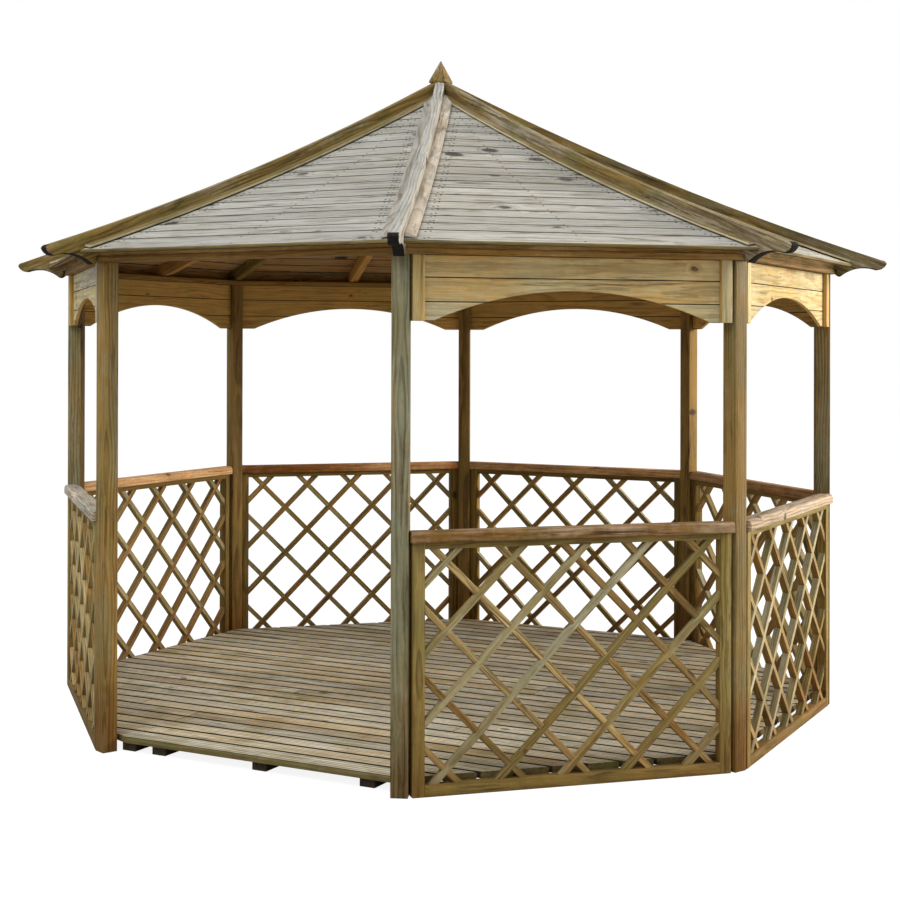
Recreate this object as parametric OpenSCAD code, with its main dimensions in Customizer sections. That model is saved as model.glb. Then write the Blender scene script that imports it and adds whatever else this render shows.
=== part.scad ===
// Octagonal open garden gazebo in pressure-treated softwood.
// Origin: on the ground, under the peak of the roof. +Z is up, and the open entrance bay faces -Y.
// Bays are counted from the entrance bay, 0, counter-clockwise seen from above.
// Each bay is drawn as the one that faces -Y: X along the bay, Y from the centre, then turned into place.

/* [Plan] */
// Centre of the building to the centre of each post
post_circle_r = 1900; // [1500:10:2300]

/* [Posts and wall plates] */
// Side of the square posts
post_w = 70; // [60:1:90]
// Height of the posts, up to the underside of the wall plates
post_h = 2125; // [1950:5:2600]
// Thickness of the wall plates that lie flat on the posts
plate_t = 24; // [18:1:45]
// Reach of the wall plates outwards from the line through the post centres
plate_out = 60; // [52:1:80]
// Reach of the wall plates inwards from the same line
plate_in = 35; // [30:1:60]

/* [Lattice panels] */
// Depth of a panel frame, from its inner to its outer face
frame_d = 44; // [36:1:50]
// Inner face of the panels, measured outwards from the line through the post centres
frame_set = 0.5; // [0:0.5:6]
// Width of the upright sides of a panel frame
stile_w = 50; // [40:1:60]
// Height of the bottom member of a panel frame
bottom_rail_h = 47; // [38:1:70]
// Height of the top member of a panel frame
top_rail_h = 26; // [20:1:50]
// Width of a lattice slat
slat_w = 26; // [18:1:36]
// Depth of a lattice slat
slat_d = 30; // [20:1:34]
// Distance along the panel between two crossings in one row
slat_pitch = 274; // [220:1:340]
// Height of the lowest crossing in the middle of a panel
first_crossing_h = 98; // [80:1:140]

/* [Handrails] */
// Height of the top of the handrails
rail_top_h = 1041; // [900:1:1150]
// Height of the handrail section
rail_h = 45; // [35:1:60]
// Width of the handrail section
rail_w = 82; // [60:1:100]
// Radius of the long upper edges of a handrail
rail_edge_r = 19; // [8:1:28]
// Reach of a handrail past the inner corner of the post that it meets
rail_reach = 16; // [2:1:24]

/* [Arched valances] */
// Height of the lower edge of the valances beside the posts
valance_h = 1864; // [1700:1:1950]
// Rise of the arch above the lower edge
arch_rise = 124; // [60:1:180]
// Flat lower edge between a valance stile and the foot of the arch
arch_shoulder = 37; // [10:1:80]
// Thickness of the valance boards
valance_board_t = 16; // [12:1:24]
// Thickness of the stiles in front of the valance boards
valance_stile_t = 20; // [12:1:30]
// Inner face of the valance boards, measured outwards from the line through the post centres
valance_set = 8; // [2:1:14]

/* [Roof] */
// Reach of the roof boards past the line through the post centres
eave_reach = 145; // [90:1:220]
// Slope of a straight line along a hip, from the eave to the peak
hip_pitch = 23.3; // [16:0.1:32]
// Sag of the hip below that line at mid length, which gives the roof its sweep
roof_sweep = 46; // [0:1:80]
// Width of a hip rafter
hip_w = 46; // [38:1:60]
// Vertical depth of a hip rafter
hip_d = 150; // [125:1:190]
// Height of the hip rafter's upper edge over the wall plate, above the post centre
hip_over_plate = 141; // [120:1:180]
// Height by which a hip rafter stands above the roof boards
hip_proud = 63; // [40:1:90]
// Length of the shaped tail of a hip rafter past the corner of the eave
tail_reach = 152; // [120:1:240]
// Thickness of the roof boards
roof_board_t = 16; // [12:1:24]
// Width of the cover strips beside the hips
strip_w = 46; // [30:1:60]
// Thickness of the cover strips
strip_t = 18; // [10:1:26]
// Width of the middle rafter under each roof panel
mid_rafter_w = 45; // [34:1:60]
// Vertical depth of the middle rafters
mid_rafter_d = 74; // [50:1:100]

/* [King post and finial] */
// Distance across the flats of the eight-sided king post
king_w = 56; // [44:1:80]
// Height of the king post below the hips' upper edges
king_h = 230; // [190:1:320]
// Side of the square finial
finial_w = 90; // [70:1:120]
// Height of the square foot of the finial
finial_foot_h = 11; // [6:1:30]
// Height of the pyramid of the finial
finial_peak_h = 108; // [60:1:160]

/* [Deck] */
// Height of the top of the deck
deck_top_h = 66; // [55:1:120]
// Thickness of the deck boards
deck_t = 28; // [20:1:36]
// Inset of the deck edge from the line through the post centres
deck_inset = 24; // [20:1:60]
// Width of a deck joist
joist_w = 70; // [40:1:90]
// Distance between the centres of the main joists
joist_gap = 516; // [400:1:620]
// Place of the middle joist, to one side of the centre
joist_shift = 35; // [0:1:60]
// Distance from the middle joist to the centre of the two extra joists beside the entrance posts
extra_joist = 676; // [640:1:700]
// Inset of the joist ends from the deck edge
joist_inset = 25; // [10:1:60]

/* [Hidden] */
bay_count = 8;
bay_turn = 360 / bay_count;
half_turn = bay_turn / 2;
seat_gap = 0.3;                                             // between pieces that bear on each other
wall_line = post_circle_r * cos(half_turn);                 // centre to the line through two post centres
post_half = post_w / 2;
post_offset = post_circle_r * sin(half_turn);               // middle of a bay to a post centre
corner_along = post_half * (cos(half_turn) + sin(half_turn));

plate_top = post_h + plate_t;
plate_outer_r = (wall_line + plate_out) / cos(half_turn);
plate_inner_r = (wall_line - plate_in) / cos(half_turn);

eave_line = wall_line + eave_reach;
eave_r = eave_line / cos(half_turn);
nose_r = eave_r + tail_reach;
hip_half = hip_w / 2;
hip_join_r = hip_half / tan(half_turn);                     // where neighbouring hips meet
finial_seat_r = finial_w / 2 - 2;
roof_start = (hip_half + seat_gap) / sin(half_turn) + 20;    // centre to the top edge of the roof boards
curve_steps = 14;

panel_top = rail_top_h - rail_h - seat_gap;
slat_set = frame_set + (frame_d - slat_d) / 2;

// Distance from the middle of a bay to the side of the post, at a distance out from the wall line
function post_face(out) = post_offset - (post_half - out * sin(half_turn)) / cos(half_turn);

// Drop of the hip's upper edge from the centre of the roof
function hip_drop(r) = tan(hip_pitch) * r + 4 * roof_sweep * (r / eave_r) * (1 - r / eave_r);
function hip_top(r) = plate_top + hip_over_plate + hip_drop(post_circle_r) - hip_drop(r);

// Upper face of the roof boards at a distance from the centre, square to the eave
function roof_top(n) = hip_top(n / cos(half_turn)) - hip_proud;

// Half the clear width between two hips at the same distance
function between_hips(n) = n * tan(half_turn) - (hip_half + seat_gap) / cos(half_turn);

function steps(first, last, count) = [for (i = [0 : count]) first + (last - first) * i / count];

// Arc of a circle through two points, with a rise square to the line between them
function arc_points(a, b, rise, count) =
    let (
        chord = norm(b - a),
        radius = (chord * chord / 4 + rise * rise) / (2 * rise),
        along = (b - a) / chord,
        across = [-along[1], along[0]],
        centre = (a + b) / 2 + across * (rise - radius),
        half_angle = asin(chord / 2 / radius)
    )
    [for (i = [0 : count])
        let (turn = half_angle * (2 * i / count - 1))
        centre + radius * (along * sin(turn) + across * cos(turn))];

finial_seat_h = hip_top(finial_seat_r);
hip_seat_r = plate_inner_r + plate_in / 2;

roof_timber = [0.66, 0.62, 0.54];
weathered = [0.52, 0.49, 0.33];
warm_timber = [0.62, 0.47, 0.28];
pale_timber = [0.70, 0.60, 0.38];
deck_timber = [0.60, 0.54, 0.42];

module in_bay(i) { rotate([0, 0, bay_turn * i]) children(); }

module at_post(i) { rotate([0, 0, bay_turn * (i - 1) - half_turn]) children(); }

// Extrudes a profile drawn as [distance from the centre, height] to both sides of a bay or a hip
module along_bay(width) {
    rotate([90, 0, -90]) translate([0, 0, -width / 2]) linear_extrude(width) children();
}

module post(i) {
    color(weathered)
        at_post(i) translate([-post_half, -post_circle_r - post_half, 0])
            cube([post_w, post_w, post_h]);
}

module lattice_panel(i) {
    half = post_face(frame_set) - seat_gap;
    opening_h = panel_top - bottom_rail_h - top_rail_h;
    embed = 2;
    reach = ceil((half + panel_top) / slat_pitch);
    color(weathered)
        in_bay(i) translate([0, -wall_line - frame_set, 0]) {
            difference() {
                translate([-half, -frame_d, 0]) cube([2 * half, frame_d, panel_top]);
                translate([stile_w - half, -frame_d - 1, bottom_rail_h])
                    cube([2 * (half - stile_w), frame_d + 2, opening_h]);
            }
            intersection() {
                translate([stile_w - half - embed, -frame_d, bottom_rail_h - embed])
                    cube([2 * (half - stile_w + embed), frame_d, opening_h + 2 * embed]);
                for (lean = [-45, 45], k = [-reach : reach])
                    translate([0, frame_set - slat_set, first_crossing_h + slat_pitch * k])
                        rotate([0, lean, 0])
                            translate([-2 * half, -slat_d, -slat_w / 2])
                                cube([4 * half, slat_d, slat_w]);
            }
        }
}

// Handrail section, drawn as [across, up], with its long upper edges rounded
module rail_section() {
    translate([-rail_w / 2, 0]) square([rail_w, rail_h - rail_edge_r]);
    translate([rail_edge_r - rail_w / 2, 0]) square([rail_w - 2 * rail_edge_r, rail_h]);
    for (side = [-1, 1])
        translate([side * (rail_w / 2 - rail_edge_r), rail_h - rail_edge_r])
            circle(rail_edge_r, $fn = 48);
}

module handrail(i) {
    middle = frame_set + frame_d / 2;
    inner = middle - rail_w / 2;
    outer = middle + rail_w / 2;
    end = post_offset - corner_along + rail_reach;
    notch = (end - post_face(0) + seat_gap) / tan(half_turn);
    color(warm_timber)
        in_bay(i) translate([0, -wall_line, rail_top_h - rail_h])
            intersection() {
                translate([-post_offset, -middle, 0])
                    rotate([90, 0, 90]) linear_extrude(2 * post_offset) rail_section();
                linear_extrude(rail_h)
                    polygon([
                        [-end, -outer - 1], [end, -outer - 1], [end, -notch],
                        [post_face(inner - 1) - seat_gap, 1 - inner],
                        [seat_gap - post_face(inner - 1), 1 - inner], [-end, -notch]
                    ]);
            }
}

module arched_valance(i) {
    half = post_face(valance_set) - seat_gap;
    height = post_h - seat_gap - valance_h;
    foot = half - stile_w - arch_shoulder;
    arch_r = (foot * foot + arch_rise * arch_rise) / (2 * arch_rise);
    color(pale_timber)
        in_bay(i) translate([0, -wall_line - valance_set, valance_h]) {
            difference() {
                translate([-half, -valance_board_t, 0]) cube([2 * half, valance_board_t, height]);
                translate([0, 1, arch_rise - arch_r]) rotate([90, 0, 0])
                    cylinder(h = valance_board_t + 2, r = arch_r, $fn = 180);
            }
            for (side = [-1, 1])
                translate([side * (half - stile_w / 2) - stile_w / 2, -valance_board_t - valance_stile_t, 0])
                    cube([stile_w, valance_stile_t, height]);
        }
}

module wall_plates() {
    inner = wall_line - plate_in;
    outer = wall_line + plate_out;
    mitre = seat_gap / 2 / cos(half_turn);
    color(warm_timber)
        for (i = [0 : bay_count - 1])
            in_bay(i) translate([0, 0, post_h]) linear_extrude(plate_t)
                polygon([
                    [mitre - inner * tan(half_turn), -inner], [inner * tan(half_turn) - mitre, -inner],
                    [outer * tan(half_turn) - mitre, -outer], [mitre - outer * tan(half_turn), -outer]
                ]);
}

// Side view of a hip rafter: swept back, plumb end, seat on the wall plate and ogee tail
module hip_profile() {
    start = king_w / 2 + seat_gap;
    beak = [plate_outer_r + 20, post_h - 13];
    nose_foot = [nose_r - 46, hip_top(nose_r) - 40];
    nose_tip = [nose_r, hip_top(nose_r) - 8];
    crown = [nose_r - 24, hip_top(nose_r - 24)];
    seat = plate_top + seat_gap;
    seat_end = max(hip_seat_r, plate_inner_r);
    top = [for (r = steps(finial_seat_r, crown[0], curve_steps)) [r, hip_top(r)]];
    bottom = [for (r = steps(seat_end, start, curve_steps)) [r, max(hip_top(r) - hip_d, seat)]];
    polygon(concat(
        [[start, finial_seat_h]],
        top,
        arc_points(crown, nose_tip, 4, 4),
        arc_points(nose_tip, nose_foot, 9, 6),
        arc_points(nose_foot, beak, -24, 10),
        [[plate_outer_r + 1, post_h - 2], [plate_outer_r + 1, seat]],
        bottom
    ));
}

module hip_rafter(i) {
    start = king_w / 2 + seat_gap;
    slack = seat_gap / 2 / cos(half_turn);
    end_half = start * tan(half_turn) - slack;
    join = hip_join_r + slack / tan(half_turn);
    color(weathered)
        at_post(i)
            intersection() {
                along_bay(hip_w) hip_profile();
                linear_extrude(2 * post_h)
                    polygon([
                        [-end_half, -start], [end_half, -start], [hip_half, -join],
                        [hip_half, -nose_r - 1], [-hip_half, -nose_r - 1], [-hip_half, -join]
                    ]);
            }
}

module middle_rafters() {
    start = (mid_rafter_w / 2 + 2 * seat_gap + (hip_half + seat_gap) / cos(half_turn)) / tan(half_turn);
    end = wall_line + plate_out;
    seat = plate_top + seat_gap;
    under = roof_board_t + seat_gap;
    stops = steps(start, end, 2 * curve_steps);
    color(warm_timber)
        for (i = [0 : bay_count - 1])
            in_bay(i) along_bay(mid_rafter_w)
                polygon(concat(
                    [for (n = stops) [n, roof_top(n) - under]],
                    [for (k = [len(stops) - 1 : -1 : 0])
                        [stops[k], max(roof_top(stops[k]) - under - mid_rafter_d, seat)]]
                ));
}

// Layer that follows the sweep of the roof, between two heights above the upper face of the boards
module roof_layer(from_n, to_n, low, high) {
    stops = steps(from_n, to_n, curve_steps);
    along_bay(2.2 * eave_line)
        polygon(concat(
            [for (n = stops) [n, roof_top(n) + high]],
            [for (k = [curve_steps : -1 : 0]) [stops[k], roof_top(stops[k]) + low]]
        ));
}

module roof_panel(i) {
    color(roof_timber)
        in_bay(i - 1)
            intersection() {
                roof_layer(roof_start, eave_line, -roof_board_t, 0);
                linear_extrude(2 * post_h)
                    polygon([
                        [-between_hips(roof_start), -roof_start], [between_hips(roof_start), -roof_start],
                        [between_hips(eave_line), -eave_line], [-between_hips(eave_line), -eave_line]
                    ]);
            }
}

// A pair of strips lies along the hips of each bay. They meet on its middle line near the peak.
module cover_strips() {
    inner = hip_half + seat_gap;
    outer = inner + strip_w;
    strip_end = (eave_line - 5 - outer * sin(half_turn)) / cos(half_turn);
    color(roof_timber)
        for (i = [0 : bay_count - 1], side = [0, 1])
            in_bay(i) mirror([side, 0, 0])
                intersection() {
                    roof_layer(roof_start, eave_line, seat_gap, strip_t);
                    rotate([0, 0, half_turn])
                        translate([-outer, -strip_end, 0]) cube([strip_w, strip_end, 2 * post_h]);
                    translate([seat_gap / 2, -eave_line, 0]) cube([eave_line, eave_line, 2 * post_h]);
                }
}

module king_post() {
    color(weathered)
        translate([0, 0, finial_seat_h - king_h])
            cylinder(h = king_h - seat_gap, r = king_w / 2 / cos(half_turn), $fn = bay_count);
}

module finial() {
    foot_top = finial_seat_h + finial_foot_h;
    color(weathered) {
        translate([-finial_w / 2, -finial_w / 2, finial_seat_h]) cube([finial_w, finial_w, finial_foot_h]);
        intersection_for(turn = [0, 90])
            rotate([0, 0, turn]) along_bay(finial_w)
                polygon([
                    [-finial_w / 2, foot_top - 1], [-finial_w / 2, foot_top],
                    [0, foot_top + finial_peak_h],
                    [finial_w / 2, foot_top], [finial_w / 2, foot_top - 1]
                ]);
    }
}

// Eight-sided outline of the deck, with its corners cut back for the posts
module deck_outline(edge) {
    cut_r = post_circle_r - post_half - 2 * seat_gap;
    cut_along = (cut_r - edge * cos(half_turn)) / sin(half_turn);
    corner_half = min(edge * tan(half_turn), cut_along);
    polygon([
        for (i = [0 : bay_count - 1], side = [-1, 1])
            let (turn = bay_turn * i, along = side * corner_half)
            [along * cos(turn) + edge * sin(turn), along * sin(turn) - edge * cos(turn)]
    ]);
}

module deck_joists() {
    edge = wall_line - deck_inset - joist_inset;
    height = deck_top_h - deck_t - seat_gap;
    color(warm_timber)
        intersection() {
            linear_extrude(height) deck_outline(edge);
            for (place = concat([for (k = [-3 : 3]) joist_gap * k], [-extra_joist, extra_joist]))
                translate([joist_shift + place - joist_w / 2, -edge - 1, -1])
                    cube([joist_w, 2 * edge + 2, height + 2]);
        }
}

module deck() {
    color(deck_timber)
        translate([0, 0, deck_top_h - deck_t])
            linear_extrude(deck_t) deck_outline(wall_line - deck_inset);
}

for (i = [1 : bay_count]) {
    post(i);
    hip_rafter(i);
    roof_panel(i);
}
for (i = [1 : bay_count - 1]) {
    lattice_panel(i);
    handrail(i);
    arched_valance(i);
}
wall_plates();
middle_rafters();
cover_strips();
king_post();
finial();
deck_joists();
deck();
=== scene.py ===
import math
import bpy
import numpy as np
from mathutils import Matrix, Vector


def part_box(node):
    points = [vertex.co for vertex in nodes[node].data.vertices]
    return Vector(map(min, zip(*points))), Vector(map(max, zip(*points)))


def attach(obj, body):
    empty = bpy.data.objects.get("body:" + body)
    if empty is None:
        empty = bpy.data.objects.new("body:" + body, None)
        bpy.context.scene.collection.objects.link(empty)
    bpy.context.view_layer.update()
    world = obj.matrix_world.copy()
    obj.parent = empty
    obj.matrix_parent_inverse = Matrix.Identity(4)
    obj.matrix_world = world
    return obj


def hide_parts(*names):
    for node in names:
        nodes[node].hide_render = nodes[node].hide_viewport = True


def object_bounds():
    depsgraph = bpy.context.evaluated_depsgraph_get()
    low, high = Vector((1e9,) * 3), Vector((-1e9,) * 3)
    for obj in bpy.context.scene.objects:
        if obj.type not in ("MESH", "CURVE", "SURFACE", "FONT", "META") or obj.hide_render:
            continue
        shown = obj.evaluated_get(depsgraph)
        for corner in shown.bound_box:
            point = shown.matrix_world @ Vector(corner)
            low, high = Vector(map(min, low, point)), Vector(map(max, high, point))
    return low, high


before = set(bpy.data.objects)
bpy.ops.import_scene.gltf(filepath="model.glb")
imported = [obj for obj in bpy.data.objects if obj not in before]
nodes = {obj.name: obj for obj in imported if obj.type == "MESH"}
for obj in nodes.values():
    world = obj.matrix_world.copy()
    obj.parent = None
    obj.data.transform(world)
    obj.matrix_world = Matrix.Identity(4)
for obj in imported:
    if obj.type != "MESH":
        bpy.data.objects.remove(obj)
cadLow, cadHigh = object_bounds()
chance = np.random.RandomState(11)
print("frame loaded:", len(nodes), "nodes")

# The plan, read from the frame. A bay is drawn facing -Y and turned into place.
eighth = math.radians(45)
halfTurn = eighth / 2
postLow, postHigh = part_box("post_1")
postRing = math.hypot((postLow.x + postHigh.x) / 2, (postLow.y + postHigh.y) / 2)
postHalf = (postHigh.x - postLow.x) / 2 / (math.cos(halfTurn) + math.sin(halfTurn))
panelLow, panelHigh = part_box("lattice_panel_4")      # this bay faces +Y, so its box is the panel itself
valanceLow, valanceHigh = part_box("arched_valance_4")
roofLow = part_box("roof_panel_5")[0]
deckLow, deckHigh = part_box("deck")
hair = 0.0005                                        # closer than this counts as the same place
wornDrift = 0.15                                     # how far boards differ in wear where none is given


def pickNone():
    if bpy.context.mode != "OBJECT":
        bpy.ops.object.mode_set(mode="OBJECT")
    bpy.ops.object.select_all(action="DESELECT")


def pick(*pieces):
    pickNone()
    for piece in pieces:
        piece.select_set(True)
    bpy.context.view_layer.objects.active = pieces[0]


def openEdit(piece, choose="SELECT"):
    pick(piece)
    bpy.ops.object.mode_set(mode="EDIT")
    bpy.ops.mesh.select_mode(type="VERT")
    bpy.ops.mesh.select_all(action=choose)


def closeEdit():
    bpy.ops.object.mode_set(mode="OBJECT")


def settle(piece):                                   # place, turn and size go into the mesh
    pick(piece)
    bpy.ops.object.transform_apply(location=True, rotation=True, scale=True)
    return piece


def block(name, low, high):
    pickNone()
    middle = [(a + b) / 2 for a, b in zip(low, high)]
    size = [b - a for a, b in zip(low, high)]
    bpy.ops.mesh.primitive_cube_add(size=1, location=middle, scale=size)
    piece = bpy.context.object
    piece.name = name
    return settle(piece)


def ease(piece, width, segments=2):                  # takes the sharpness off every arris
    openEdit(piece)
    bpy.ops.mesh.bevel(offset=width, segments=segments, affect="EDGES")
    closeEdit()
    return piece


def easeAlongX(piece, width, segments=1):            # only the long arrises
    pickNone()
    spots = [v.co.copy() for v in piece.data.vertices]
    openEdit(piece, "DESELECT")
    bpy.ops.mesh.select_mode(type="EDGE")
    closeEdit()
    for edge in piece.data.edges:
        a, b = spots[edge.vertices[0]], spots[edge.vertices[1]]
        edge.select = abs(a.y - b.y) < hair and abs(a.z - b.z) < hair
    bpy.ops.object.mode_set(mode="EDIT")
    bpy.ops.mesh.bevel(offset=width, segments=segments, affect="EDGES")
    closeEdit()
    return piece


def trim(piece, cuts):                               # keeps what lies behind each plane, closed again
    openEdit(piece)
    for place, normal in cuts:
        bpy.ops.mesh.select_all(action="SELECT")
        bpy.ops.mesh.bisect(plane_co=place, plane_no=normal, use_fill=True, clear_outer=True)
    closeEdit()
    return piece


def score(piece, cuts):                              # adds an edge loop at each plane
    openEdit(piece)
    for place, normal in cuts:
        bpy.ops.mesh.select_all(action="SELECT")
        bpy.ops.mesh.bisect(plane_co=place, plane_no=normal)
    closeEdit()
    return piece


def pushPoints(piece, test, move):
    openEdit(piece, "DESELECT")
    closeEdit()
    for point in piece.data.vertices:
        point.select = test(point.co)
    bpy.ops.object.mode_set(mode="EDIT")
    bpy.ops.transform.translate(value=move)
    closeEdit()


def spotsOf(piece):
    spots = np.empty(len(piece.data.vertices) * 3, np.float32)
    piece.data.vertices.foreach_get("co", spots)
    return spots.reshape(-1, 3)


def giveGrain(piece, along=(1, 0, 0), across=(0, 1, 0), centre=None, board=None, worn=None):
    # each point's place along, across and through its own board, a number that picks the board's figure,
    # and how weathered the board is
    spots = spotsOf(piece)
    if centre is None:
        centre = (spots.max(0) + spots.min(0)) / 2
    a = Vector(along).normalized()
    b = (Vector(across) - a * Vector(across).dot(a)).normalized()
    axes = np.array([a, b, a.cross(b)])
    places = ((spots - np.array(centre)) @ axes.T).astype(np.float32)
    writePoints(piece, "grain", "FLOAT_VECTOR", places)
    if board is None:
        board = chance.rand()
    if worn is None:
        worn = chance.uniform(-wornDrift, wornDrift)
    writePoints(piece, "board", "FLOAT", np.full(len(spots), board))
    writePoints(piece, "worn", "FLOAT", np.full(len(spots), worn))
    return piece


def writePoints(piece, name, kind, values):
    layer = piece.data.attributes.get(name) or piece.data.attributes.new(name, kind, "POINT")
    part = "vector" if kind == "FLOAT_VECTOR" else "value"
    layer.data.foreach_set(part, np.asarray(values, np.float32).ravel())


def readPoints(piece, name):
    values = np.empty(len(piece.data.vertices), np.float32)
    piece.data.attributes[name].data.foreach_get("value", values)
    return values


def newBoards(piece, shift, worn=0):                 # a copy is cut from other timber
    writePoints(piece, "board", "FLOAT", (readPoints(piece, "board") + shift) % 1)
    writePoints(piece, "worn", "FLOAT", readPoints(piece, "worn") + worn)


def twin(piece, name, matrix=None, shift=None, worn=0):
    mate = bpy.data.objects.new(name, piece.data.copy())
    bpy.context.scene.collection.objects.link(mate)
    if matrix is not None:
        mate.data.transform(matrix)
    if shift is not None:
        newBoards(mate, shift, worn)
    return mate


def joined(name, pieces):
    pick(*pieces)
    if len(pieces) > 1:
        bpy.ops.object.join()
    piece = bpy.context.object
    piece.name = name
    return piece


def discard(piece):
    bpy.data.objects.remove(piece)


def smoothArrises(piece, degrees=32):
    pick(piece)
    bpy.ops.object.shade_smooth_by_angle(angle=math.radians(degrees))


def finishOn(piece, *finishes):
    piece.data.materials.clear()
    for finish in finishes:
        piece.data.materials.append(finish)
    return piece


def paintFaces(piece, test, slot):
    for face in piece.data.polygons:
        if test(face):
            face.material_index = slot


def seat(piece, slot, *replaced):
    smoothArrises(piece)
    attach(piece, "root")
    if replaced:
        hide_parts(*replaced)
    return piece


def bayMatrix(bay):
    return Matrix.Rotation(bay * eighth, 4, "Z")


def wayAt(turn):                                     # level and outward, turned from the entrance
    return (math.sin(turn), -math.cos(turn), 0)


def scaled(way, length):
    return [part * length for part in way]


def fromCad(name, node, arris, segments=2, flat=0.25, worn=None):
    # a merged copy of the node, with its arrises eased and each solid given its own grain
    piece = bpy.data.objects.new(name, nodes[node].data.copy())
    bpy.context.scene.collection.objects.link(piece)
    openEdit(piece)
    bpy.ops.mesh.remove_doubles(threshold=0.00002)
    bpy.ops.mesh.dissolve_limited(angle_limit=math.radians(flat))
    closeEdit()
    soften = piece.modifiers.new("arris", "BEVEL")
    soften.width = arris
    soften.segments = segments
    soften.limit_method = "ANGLE"
    soften.angle_limit = math.radians(30)
    bpy.ops.object.modifier_apply(modifier="arris")
    openEdit(piece)
    bpy.ops.mesh.separate(type="LOOSE")
    closeEdit()
    solids = list(bpy.context.selected_objects)
    for solid in solids:
        spots = spotsOf(solid)
        away = spots - spots.mean(0)
        directions = np.linalg.svd(away, full_matrices=False)[2]
        giveGrain(solid, directions[0], directions[1],
                  worn=worn(spots.mean(0)) if callable(worn) else worn)
    return joined(name, solids)


def tint(red, green, blue):                          # a colour as the eye reads it, to a lamp's scale
    def lamp(part):
        part /= 255
        return part / 12.92 if part <= 0.04045 else ((part + 0.055) / 1.055) ** 2.4
    return (lamp(red), lamp(green), lamp(blue), 1)


def feed(tree, socket, value):
    if isinstance(value, bpy.types.NodeSocket):
        tree.links.new(value, socket)
    elif value is not None:
        socket.default_value = value


def put(tree, kind, outlet=0, settings=None, **feeds):
    node = tree.nodes.new("ShaderNode" + kind)
    for key, value in (settings or {}).items():
        setattr(node, key, value)
    for key, value in feeds.items():
        feed(tree, node.inputs[key.replace("_", " ")], value)
    return node.outputs[outlet]


def maths(tree, operation, *values, clamp=False):
    node = tree.nodes.new("ShaderNodeMath")
    node.operation = operation
    node.use_clamp = clamp
    for socket, value in zip(node.inputs, values):
        feed(tree, socket, value)
    return node.outputs[0]


def vectorMaths(tree, operation, *values, outlet=0):
    node = tree.nodes.new("ShaderNodeVectorMath")
    node.operation = operation
    places = (0, 3) if operation == "SCALE" else (0, 1)
    for socket, value in zip((node.inputs[place] for place in places), values):
        feed(tree, socket, value)
    return node.outputs[outlet]


def ramp(tree, value, start, end, low=0.0, high=1.0, smooth=True):
    node = tree.nodes.new("ShaderNodeMapRange")
    node.interpolation_type = "SMOOTHSTEP" if smooth else "LINEAR"
    keys = ("Value", "From Min", "From Max", "To Min", "To Max")
    for key, part in zip(keys, (value, start, end, low, high)):
        feed(tree, node.inputs[key], part)
    return node.outputs[0]


def blend(tree, share, first, second, how="MIX"):
    node = tree.nodes.new("ShaderNodeMix")
    node.data_type = "RGBA"
    node.blend_type = how
    for place, value in zip((0, 6, 7), (share, first, second)):
        feed(tree, node.inputs[place], value)
    return node.outputs[2]


def noise(tree, place, stretch, detail=3, roughness=0.55, outlet=0):
    return put(tree, "TexNoise", outlet, Vector=vectorMaths(tree, "MULTIPLY", place, stretch), Scale=1.0,
               Detail=detail, Roughness=roughness)


def openGroup(name, inlets, outlets):
    group = bpy.data.node_groups.new(name, "ShaderNodeTree")
    for label, kind, value in inlets:
        socket = group.interface.new_socket(name=label, in_out="INPUT",
                                            socket_type="NodeSocket" + kind)
        if value is not None:
            socket.default_value = value
    for label, kind in outlets:
        group.interface.new_socket(name=label, in_out="OUTPUT", socket_type="NodeSocket" + kind)
    given = group.nodes.new("NodeGroupInput").outputs
    return group, given, group.nodes.new("NodeGroupOutput").inputs


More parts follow.
